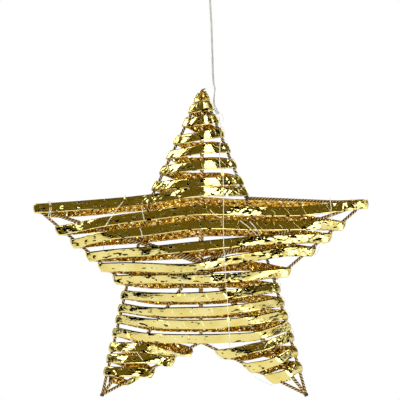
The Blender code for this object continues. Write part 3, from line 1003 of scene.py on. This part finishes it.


# A fold pattern is its direction in degrees, the millimetres between crests and its share of the height.
# A loose leaf's marks are its strengths of crumple, of fleck with its painted shade, and of rim with its
# painted dark reflection
filmFolds = {
    "gold": [(31, 5.8, 0.8), (-47, 4.4, 0.8), (74, 7.6, 0.8), (8, 9.5, 0.7)],
    "amber": [(24, 6.4, 1), (-55, 4.8, 1.1), (82, 8, 1), (-14, 3.4, 0.4)],
    "rippleSize": (0.8, 3.2, 1),
    "rippleHeight": 0.45,
    "fleckDirection": -38,
    "fleckSize": (1.3, 3.6, 1),
    "fleckHeight": 1,
    "fleckFrom": (0.655, 0.685),
    "fleckGain": 0.07,
    "pullSpacing": 15,
    "pullDirection": 40,
    "pullHeight": 0.06,
    "leafMarks": (0.5, 0.4, 0),
}


def foldNodes(tree, place, folds):
    # Straight creases in several directions, bent a little, which add up to flat facets
    bend = addNode(tree, "TexNoise", {"Scale": 1.4, "Detail": 2, "Vector": place})
    shift = addNode(tree, "VectorMath", {"operation": "SCALE", "Vector": (bend, "Color"), "Scale": 0.35})
    bent = addNode(tree, "VectorMath", {"operation": "ADD", 0: place, 1: shift})
    total = None
    for degrees, spacing, share in folds:
        turned = addNode(tree, "Mapping", {"Rotation": (0, 0, math.radians(degrees)), "Vector": bent})
        parts = addNode(tree, "SeparateXYZ", {"Vector": turned})
        # The map's unit is 10 mm, and a crest stands every spacing millimetres
        wave = addNode(tree, "Math", {"operation": "PINGPONG", 0: (parts, "X"), 1: spacing * 0.05})
        part = addNode(tree, "Math", {"operation": "MULTIPLY", 0: wave, 1: share * 20 / spacing})
        if total is None:
            total = part
        else:
            total = addNode(tree, "Math", {"operation": "ADD", 0: total, 1: part})
    return total


# Vacuum-metallised PET film, slit and wound by hand: a yellow mirror, with sharp facets where it was
# crumpled, slanting pulls and flecks whose creases are painted dark as shade, a painted dark reflection
# along the rolled top edge, and fine rub marks
def mirrorGoldFilm():
    made, tree, shader = newMaterial("gold metallised PET film")
    place = addNode(tree, "UVMap", {"uv_map": "filmLength"})
    tint = addNode(tree, "TexNoise", {"Scale": 0.6, "Vector": place})
    tone = addNode(tree, "ValToRGB", {"Fac": tint, "stops": [(0.3, "#DFCB72"), (0.7, "#EADE98")]})
    wear = addNode(tree, "TexNoise", {"Scale": 4, "Detail": 3, "Vector": place})
    spread = addNode(tree, "MapRange", {"Value": wear, "To Min": 0.01, "To Max": 0.07})
    folds = foldNodes(tree, place, filmFolds["gold"])
    hard = addNode(tree, "Attribute", {"attribute_name": "crumple"})
    crumpled = addNode(tree, "Math", {"operation": "MULTIPLY", 0: folds, 1: (hard, "Fac")})
    # Flecks are long patches of one noise along a slant: sharp creases whose insides are painted near-black
    # as shade
    aslant = (0, 0, math.radians(filmFolds["fleckDirection"]))
    slant = addNode(tree, "Mapping", {"Rotation": aslant, "Scale": filmFolds["fleckSize"], "Vector": place})
    spots = addNode(tree, "TexNoise", {"Scale": 1, "Detail": 1.5, "Vector": slant})
    many = addNode(tree, "Attribute", {"attribute_name": "fleck"})
    gain, high = filmFolds["fleckGain"], filmFolds["fleckHeight"]
    common = addNode(tree, "Math", {"operation": "MULTIPLY_ADD", 0: (many, "Fac"), 1: gain, 2: spots})
    first, full = filmFolds["fleckFrom"]
    creaseAndPaintedShade = addNode(tree, "MapRange", {"Value": common, "From Min": first, "From Max": full})
    fleck = addNode(tree, "Math", {"operation": "MULTIPLY_ADD", 0: creaseAndPaintedShade, 1: high, 2: crumpled})
    # The slit edge is rolled back; its dark reflection is painted on as a thin dark line along the top
    width = addNode(tree, "SeparateXYZ", {"Vector": place})
    rolled = addNode(tree, "MapRange", {"Value": (width, "Y"), "From Min": 0.87, "From Max": 0.9})
    rim = addNode(tree, "Attribute", {"attribute_name": "rim"})
    edge = addNode(tree, "Math", {"operation": "MULTIPLY", "use_clamp": True, 0: rolled, 1: (rim, "Fac")})
    # Where the film is painted near-black: painted shade inside the flecks' creases and the painted dark
    # reflection of the rolled edge
    paintedDarkMask = addNode(tree, "Math", {"operation": "MAXIMUM", 0: edge, 1: creaseAndPaintedShade})
    # A colour mix has its two colours at inputs 6 and 7 and its result at output 2
    paint = addNode(tree, "Mix", {"data_type": "RGBA", "Factor": paintedDarkMask, 6: tone, 7: hexColour("#0C0803")})
    # Long low ripples along the film, which streak what it mirrors
    length = addNode(tree, "Mapping", {"Scale": filmFolds["rippleSize"], "Vector": place})
    waves = addNode(tree, "TexNoise", {"Scale": 1.2, "Detail": 3, "Vector": length})
    low = filmFolds["rippleHeight"]
    ripple = addNode(tree, "Math", {"operation": "MULTIPLY_ADD", 0: waves, 1: low, 2: fleck})
    # Faint slanting pulls, where the film was drawn over the wires
    oblique = (0, 0, math.radians(filmFolds["pullDirection"]))
    turned = addNode(tree, "Mapping", {"Rotation": oblique, "Vector": place})
    parts = addNode(tree, "SeparateXYZ", {"Vector": turned})
    uneven = addNode(tree, "Math", {"operation": "MULTIPLY_ADD", 0: tint, 1: 2.6, 2: (parts, "X")})
    stroke = addNode(tree, "Math", {"operation": "PINGPONG", 0: uneven, 1: filmFolds["pullSpacing"] * 0.05})
    raised = filmFolds["pullHeight"]
    pull = addNode(tree, "MapRange", {"Value": stroke, "From Max": 0.025, "To Min": raised, "To Max": 0})
    height = addNode(tree, "Math", {"operation": "ADD", 0: ripple, 1: pull})
    bump = addNode(tree, "Bump", {"Strength": 1, "Distance": 0.6 * mm, "Height": height})
    setNode(tree, shader, {"Base Color": (paint, 2), "Metallic": 1, "Roughness": spread, "Normal": bump})
    return made


# The film's lacquered reverse: deeper golden amber, crumpled all over into small sparkling facets, with
# painted highlights and painted shade in its colour
def amberFilm():
    made, tree, shader = newMaterial("amber lacquered PET film")
    place = addNode(tree, "UVMap", {"uv_map": "filmLength"})
    tint = addNode(tree, "TexNoise", {"Scale": 3.4, "Detail": 3, "Vector": place})
    # Round the amber tones, the palest stop paints near-white highlights and the darkest paints brown shade
    stops = [(0.34, "#875A16"), (0.44, "#D9A630"), (0.55, "#F2D060"), (0.63, "#FFFADC")]
    tone = addNode(tree, "ValToRGB", {"Fac": tint, "stops": stops})
    folds = foldNodes(tree, place, filmFolds["amber"])
    bump = addNode(tree, "Bump", {"Strength": 1, "Distance": 0.6 * mm, "Height": folds})
    setNode(tree, shader, {"Base Color": tone, "Metallic": 1, "Roughness": 0.06, "Normal": bump})
    return made


# Loose ends of film, each as places along it: its lower and its upper edge. Those laid from left to
# right show their amber side
leaves = {
    "tipPleats": {
        "apex": (2, -2.6, 171.2),
        "middle": 1.5,
        "spread": 7.2,
        "drop": 161.2,
        "depth": (-3.2, -5.4),
        "pleats": 5,
    },
    "leftTail": [
        ((-58.5, -3.6, -112.6), (-61.5, -3.6, -110.4)),
        ((-62, -3.8, -116.5), (-65.5, -3.6, -112.8)),
        ((-68, -3.4, -121), (-69.5, -3.2, -116)),
        ((-73.5, -2.4, -123.5), (-73, -2.6, -118.2)),
    ],
    "leftLegAmber": [
        ((-93, 1.6, -121), (-92, 1.6, -113.5)),
        ((-86, 2.2, -122.5), (-84, 2.4, -115)),
        ((-79, 1.8, -123.8), (-77.5, 2, -117)),
        ((-73, 1.2, -123.6), (-73, 1.2, -118.6)),
    ],
    "rightLegUpper": [
        ((63, 3, -95), (64.5, 3.2, -86)),
        ((69, 4, -96.5), (69.5, 4.2, -87)),
        ((75.5, 3.4, -97), (75, 3.6, -88)),
    ],
    "rightLegLower": [
        ((59, 1.8, -112), (60, 2.2, -103)),
        ((65, 2.4, -114.5), (65.5, 2.6, -105)),
        ((71, 2.4, -117), (70.5, 2.4, -107.5)),
    ],
}


def tipPleats():
    # Folded leaves of film that fan out from the top tip, amber side out
    made = leaves["tipPleats"]
    apex = Vector(made["apex"])
    leaf = []
    for k in range(made["pleats"] * 2 + 1):
        share = k / made["pleats"] - 1
        depth = made["depth"][k % 2]
        height = made["drop"] + 2.4 * share**2 + 0.5 * (k % 3)
        low = (made["middle"] + made["spread"] * share, depth, height)
        high = apex + Vector((1.4 * share, 0.3 * (k % 2), -0.6 * share**2))
        leaf.append((low, tuple(high)))
    return leaf


def addRibbon():
    finishes = [mirrorGoldFilm(), amberFilm()]
    loose = {
        "ribbonMain": [tipPleats(), leaves["leftTail"], leaves["leftLegAmber"]],
        "ribbonRightLeg": [leaves["rightLegUpper"], leaves["rightLegLower"]],
    }
    for name, first, last in (("ribbonMain", 0, 19), ("ribbonRightLeg", 20, 22)):
        rows, marks = windingRows(first, last)
        nodes = [f"ribbon_turn_{turn + 1:02d}" for turn in range(first, last + 1)]
        strips = [crinkled(rows, marks)] + [leafRows(leaf) for leaf in loose[name]]
        filmPiece(name, strips, finishes, nodes)
        print(name, "made,", len(rows), "rows")


addRibbon()

# The fairy lights: thin bare wire laid over the ribbon, with a clear resin drop over each lamp. Routes are
# (x, z) and follow the ribbon; the wire that hangs beside the outline has its own depth
fairyLights = {
    "wireRadius": 0.37,
    "sideRadius": 0.24,
    "dropRadius": 1.5,
    "dropLength": 5.4,
    "lift": 0.9,
    "waver": 0.5,
    "mainRoute": [
        (18.2, 146), (18.6, 140), (20.5, 130), (19.2, 112), (19.4, 96), (22.4, 85),
        (23, 37), (24, 7), (27, -40), (28.5, -68), (29, -86),
    ],
    "mainDrops": [-57, 88],
    "crossRoutes": [
        [(-75.5, 67), (-76.5, 63), (-79, 58), (-88, 46), (-95.5, 35)],
        [(-153.6, 61), (-151.6, 56.5), (-151.4, 51), (-153.2, 44)],
        [(-152.2, 61), (-149.8, 55), (-150.4, 49), (-149.6, 41)],
        [(-58.6, 56.5), (-57.4, 50), (-55.4, 42.5)],
        [(-59.6, 34.5), (-57.8, 29), (-57, 24.5)],
        [(-73.4, -68), (-72, -73), (-68, -79), (-63.5, -88), (-55.6, -101)],
        [(129, 64), (129.4, 50), (129.6, 36)],
        [(149.6, 63), (152, 57), (156.4, 51.5)],
        [(151.6, 63), (154.4, 56.5), (158.6, 53)],
        [(39, 42), (49, 34), (59, 24)],
        [(49, 41), (55, 34), (62.5, 20)],
        [(10, 52), (15, 47), (20, 44.5)],
        [(70, -74), (66, -80), (61.6, -88)],
    ],
    "crossDrops": {0: 62.5, 5: -73, 6: 38.5},
    "sideRoutes": [
        [(17.6, -3.6, 150), (21.8, -2, 146), (21.6, -1, 141), (18.6, -3.4, 137.4), (22.6, -1.4, 133),
         (24.2, -0.6, 128), (22.6, -3.2, 124), (26.6, -1.4, 119), (28.6, -0.6, 113), (26.6, -3, 110)],
        [(29.6, -3, 104), (34.4, -1, 99), (35.4, -0.4, 94), (33, -2.4, 90), (38.6, -1, 86),
         (40.4, -0.4, 80), (38.4, -2.2, 76), (44.6, -0.8, 72), (45.6, -1.4, 66)],
        [(131.5, -2.6, 29.5), (129, -0.6, 21.5), (119.5, 0.2, 16.5), (115.6, -0.4, 8.5), (109, -2.4, 6)],
        [(76, -3, -14), (79.6, -0.8, -22), (78, -2.2, -31), (84, -0.6, -38), (82.4, -2, -45),
         (88.4, -0.6, -52), (86, -2, -60), (92, -0.6, -68), (91, -2, -78)],
        [(11, -2.8, -83), (15, -1.6, -91), (20.6, -2.6, -96.5), (27, -1.6, -97.5)],
        [(44, -2.6, -104), (52, -1.2, -113), (62, -1.2, -119), (72, -2.2, -123.5)],
        [(-30, -2.6, -97), (-37, -1.2, -103), (-46, -1.4, -105), (-53, -2.4, -112)],
        [(-98, -2.4, 18), (-97, -0.4, 12), (-90, -1, 4), (-84, -2.4, 0.5)],
    ],
}


# Bare silver-plated copper wire: thin bright line
def silverWire():
    made, tree, shader = newMaterial("silver-plated copper wire")
    place = addNode(tree, "TexCoord", {})
    dull = addNode(tree, "TexNoise", {"Scale": 0.5 / mm, "Vector": (place, "Object")})
    tone = addNode(tree, "ValToRGB", {"Fac": dull, "stops": [(0.35, "#E4DDC6"), (0.65, "#FFFCEE")]})
    setNode(tree, shader, {"Base Color": tone, "Metallic": 0.4, "Roughness": 0.3})
    return made


# Clear epoxy drop over a lit warm-white LED: glossy, with a yellow heart
def resinDrop():
    made, tree, shader = newMaterial("clear epoxy over a warm lamp")
    place = addNode(tree, "TexCoord", {})
    heart = addNode(tree, "TexNoise", {"Scale": 0.35 / mm, "Vector": (place, "Object")})
    glow = addNode(tree, "MapRange", {"Value": heart, "To Min": 0.5, "To Max": 1.1})
    setNode(tree, shader, {"Emission Color": hexColour("#FFD25E"), "Emission Strength": glow})
    setNode(tree, shader, {"Base Color": hexColour("#FFE9A8"), "Roughness": 0.08, "IOR": 1.55})
    setNode(tree, shader, {"Transmission Weight": 0.35})
    return made


def overRibbon(flat):
    out = filmOut + ribbonFilm["thickness"] + fairyLights["lift"]
    line = []
    for place in flat:
        leg = "right_leg" if place.x > 0 else "left_leg"
        depth = tautDepth(place.x, place.z, "star" if place.z > valleys["bottom"][1] else leg)
        waver = fairyLights["waver"] * noise.noise(Vector((place.x / 9, place.z / 9, 4.4)))
        line.append(Vector((place.x + waver, -(depth + out), place.z)))
    return line


def dropOn(line, height):
    # A resin drop along the wire, as a tube whose radius follows an ellipse
    nearest = min(range(1, len(line) - 1), key=lambda k: abs(line[k].z - height))
    centre = line[nearest]
    along = (line[nearest + 1] - line[nearest - 1]).normalized()
    half = fairyLights["dropLength"] / 2
    steps = [-1, -0.95, -0.8, -0.55, -0.25, 0, 0.25, 0.55, 0.8, 0.95, 1]
    places = [centre + along * (half * s) for s in steps]
    radii = [max(0.15, fairyLights["dropRadius"] * math.sqrt(max(0, 1 - s * s))) for s in steps]
    return places, radii


def addLights():
    silver, resin = silverWire(), resinDrop()
    flat = smoothRoute([(x, 0, z) for x, z in fairyLights["mainRoute"]], 1.5)
    line = overRibbon(flat)
    lines, radii, slots = [line], [fairyLights["wireRadius"]], [0]
    drops = [dropOn(line, height) for height in fairyLights["mainDrops"]]
    for k, route in enumerate(fairyLights["crossRoutes"]):
        line = overRibbon(smoothRoute([(x, 0, z) for x, z in route], 1.2))
        lines.append(line)
        radii.append(fairyLights["wireRadius"])
        slots.append(0)
        if k in fairyLights["crossDrops"]:
            drops.append(dropOn(line, fairyLights["crossDrops"][k]))
    for route in fairyLights["sideRoutes"]:
        lines.append(smoothRoute(route, 0.8))
        radii.append(fairyLights["sideRadius"])
        slots.append(0)
    for places, widths in drops:
        lines.append(places)
        radii.append(widths)
        slots.append(1)
    piece = addTubes("lightStringFront", lines, radii, 8, [silver, resin], slots)
    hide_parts("light_string")
    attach(piece, "root")
    print("light string made")


addLights()

# The studio: a pale floor far below, white all round, and cards and softboxes that the mirror film picks
# up. A card is two colours and its strength. A panel is its left and right azimuth and its low and high
# elevation in degrees, its card, and whether the star's back has one too
studio = {
    "floorDrop": 1100,
    "floorSize": 6000,
    "lampPlace": (-900, -900, 1500),
    "lampSize": 1,
    "lampPower": 12,
    "panelReach": 1500,
    "panelStep": 5,
    "cards": {
        "olive": ("#2E2208", "#8E7E36", 1),
        "sideOlive": ("#2E2208", "#85783A", 1),
        "brown": ("#2A1D08", "#7A6A30", 1),
        "black": ("#020100", "#070502", 1),
        "softbox": ("#FFFFFF", "#F4F6F0", 4.5),
    },
    "panels": {
        "OliveTop": (-180, 180, 55, 90, "olive", False),
        "OliveCard": (-45, 35, 0, 55, "olive", True),
        "OliveWing": (-58, -45, 15, 55, "olive", True),
        "OliveWingLow": (-76, -45, 0, 15, "olive", True),
        "BlackUnder": (-72, -52, -20, 0, "black", False),
        "LowSoftbox": (8, 46, -34, -16, "softbox", False),
        "OliveCardLow": (35, 49, 0, 12, "olive", True),
        "BlackCard": (-52, 50, -15, 0, "black", True),
        "RightSoftbox": (35, 51, 14, 50, "softbox", True),
        "RightBlackStrip": (51, 58, 0, 50, "black", True),
        "RightLowSoftbox": (53, 75, -46, -33, "softbox", False),
        "RightCard": (58, 86, 4, 55, "sideOlive", False),
        "RightLowCard": (68, 92, -60, -16, "brown", False),
        "LeftSoftbox": (-72, -58, 16, 50, "softbox", True),
        "LeftBlackStrip": (-90, -76, 0, 5, "black", False),
        "LeftCard": (-90, -72, 18, 55, "sideOlive", False),
        "LeftEndCard": (-121, -92, 4, 55, "sideOlive", False),
    },
}


def addFloor():
    half, z = studio["floorSize"] / 2, -studio["floorDrop"]
    points = [(-half, -half, z), (half, -half, z), (half, half, z), (-half, half, z)]
    paper, tree, shader = newMaterial("matt white paper")
    setNode(tree, shader, {"Base Color": hexColour("#FCFCFA"), "Roughness": 0.9})
    makePiece("studioFloor", points, [[0, 1, 2, 3]], [paper])


def addPanel(name, facing, panel):
    # A piece of a sphere round the star, which only reflections see
    left, right, low, high, kind, _ = panel
    code, otherCode, strength = studio["cards"][kind]
    made, tree, shader = newMaterial("lit or dark card " + name)
    place = addNode(tree, "TexCoord", {})
    cloud = addNode(tree, "TexNoise", {"Scale": 13, "Detail": 4, "Vector": (place, "Object")})
    setNode(tree, cloud, {"Roughness": 0.6})
    tone = addNode(tree, "ValToRGB", {"Fac": cloud, "stops": [(0.4, code), (0.6, otherCode)]})
    setNode(tree, shader, {"Base Color": hexColour("#000000"), "Specular IOR Level": 0})
    setNode(tree, shader, {"Emission Color": tone, "Emission Strength": strength})
    columns = max(1, round((right - left) / studio["panelStep"]))
    rows = max(1, round((high - low) / studio["panelStep"]))
    reach = studio["panelReach"]
    points, faces = [], []
    for row in range(rows + 1):
        height = math.radians(low + (high - low) * row / rows)
        for column in range(columns + 1):
            turn = math.radians(facing + left + (right - left) * column / columns)
            flat = reach * math.cos(height)
            points.append((flat * math.sin(turn), -flat * math.cos(turn), reach * math.sin(height)))
    for row in range(rows):
        for column in range(columns):
            a = row * (columns + 1) + column
            faces.append([a, a + 1, a + columns + 2, a + columns + 1])
    card = makePiece(name, points, faces, [made])
    card.visible_camera = False
    card.visible_shadow = False
    card.visible_diffuse = False


def addLamp():
    data = bpy.data.lights.new("softbox", "AREA")
    data.size = studio["lampSize"]
    data.energy = studio["lampPower"]
    lamp = bpy.data.objects.new("softbox", data)
    lamp.location = world(*studio["lampPlace"])
    aim = world(0, 0, 20) - lamp.location
    lamp.rotation_euler = aim.to_track_quat("-Z", "Y").to_euler()
    bpy.context.scene.collection.objects.link(lamp)


def addStudio():
    addFloor()
    for name, panel in studio["panels"].items():
        addPanel("front" + name, 0, panel)
        if panel[-1]:
            addPanel("back" + name, 180, panel)
    addLamp()
    sky = bpy.data.worlds.new("white studio")
    sky.use_nodes = True
    paint = sky.node_tree.nodes["Background"]
    setNode(sky.node_tree, paint, {"Color": hexColour("#FFFFFF"), "Strength": 1})
    bpy.context.scene.world = sky
    bpy.context.scene.view_settings.view_transform = "Standard"
    print("studio set")


addStudio()
